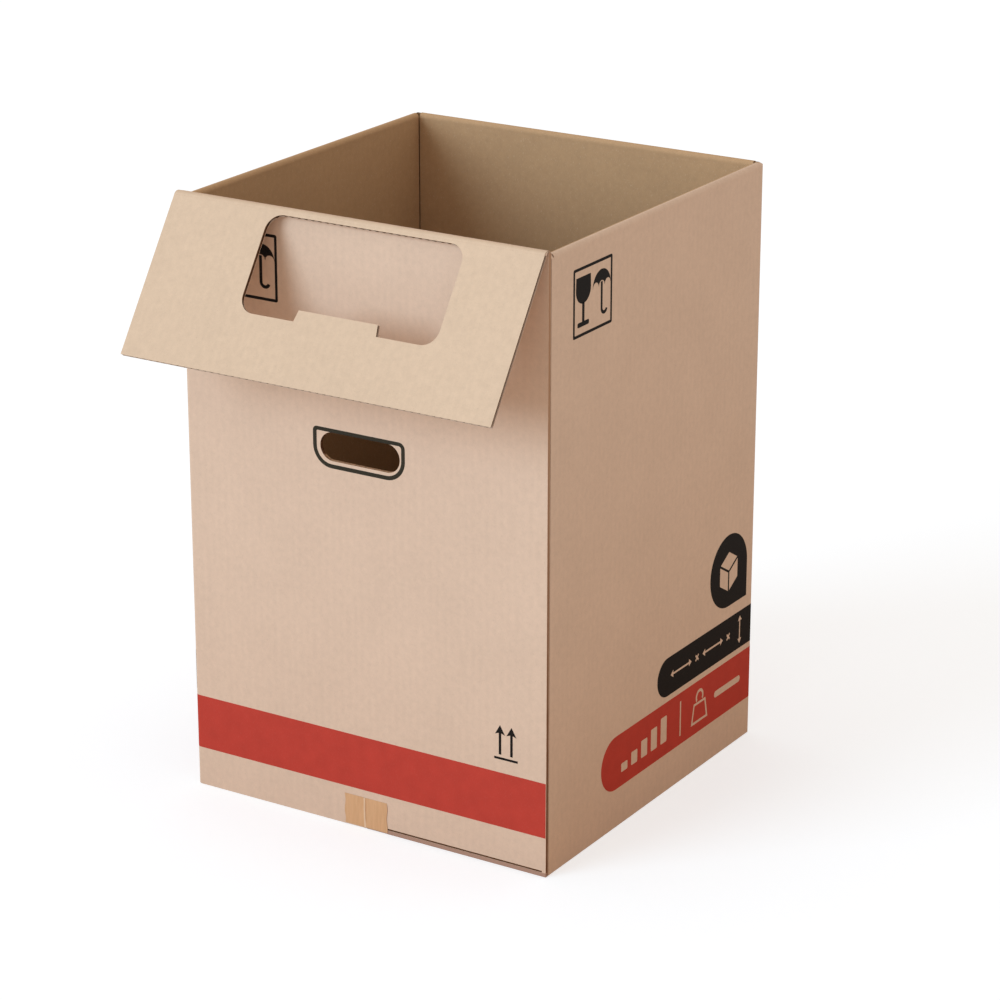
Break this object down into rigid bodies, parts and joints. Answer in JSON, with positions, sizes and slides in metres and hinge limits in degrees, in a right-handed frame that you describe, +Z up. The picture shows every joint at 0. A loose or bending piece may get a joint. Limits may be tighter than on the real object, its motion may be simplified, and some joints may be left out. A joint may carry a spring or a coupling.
{
  "type": "moving box",
  "caption": "Tall corrugated moving box with a glued side joint, taped bottom, two hand holes and hinged top flaps, one of them with a window.",
  "frame": {"origin": "middle of the bottom, on the face that the box stands on", "axes": "+Z up, +X along the front wall to the right, and the front wall with the hanging flap faces -Y"},
  "size_m": [0.4, 0.4952, 0.6],
  "materials": {
    "kraft_board": "uncoated kraft liner, matt",
    "tape_film": "brown packing tape, slight gloss"
  },
  "bodies": {
    "carton": {"carton_body": "kraft_board", "sealing_tape": "tape_film"},
    "front_top_flap": {"front_flap": "kraft_board"},
    "back_top_flap": {"back_flap": "kraft_board"},
    "left_top_flap": {"left_flap": "kraft_board"},
    "right_top_flap": {"right_flap": "kraft_board"}
  },
  "joints": [
    {"name": "front_flap_crease", "type": "hinge", "parent": "carton", "child": "front_top_flap", "pos_m": [0, -0.2, 0.6], "axis": [-1, 0, 0], "range_deg": [-33.8, 236.2]},
    {"name": "back_flap_crease", "type": "hinge", "parent": "carton", "child": "back_top_flap", "pos_m": [0, 0.196, 0.5954], "axis": [-1, 0, 0], "range_deg": [0, 270]},
    {"name": "left_flap_crease", "type": "hinge", "parent": "carton", "child": "left_top_flap", "pos_m": [-0.196, 0, 0.5954], "axis": [0, -1, 0], "range_deg": [0, 270]},
    {"name": "right_flap_crease", "type": "hinge", "parent": "carton", "child": "right_top_flap", "pos_m": [0.196, 0, 0.5954], "axis": [0, 1, 0], "range_deg": [0, 270]}
  ]
}
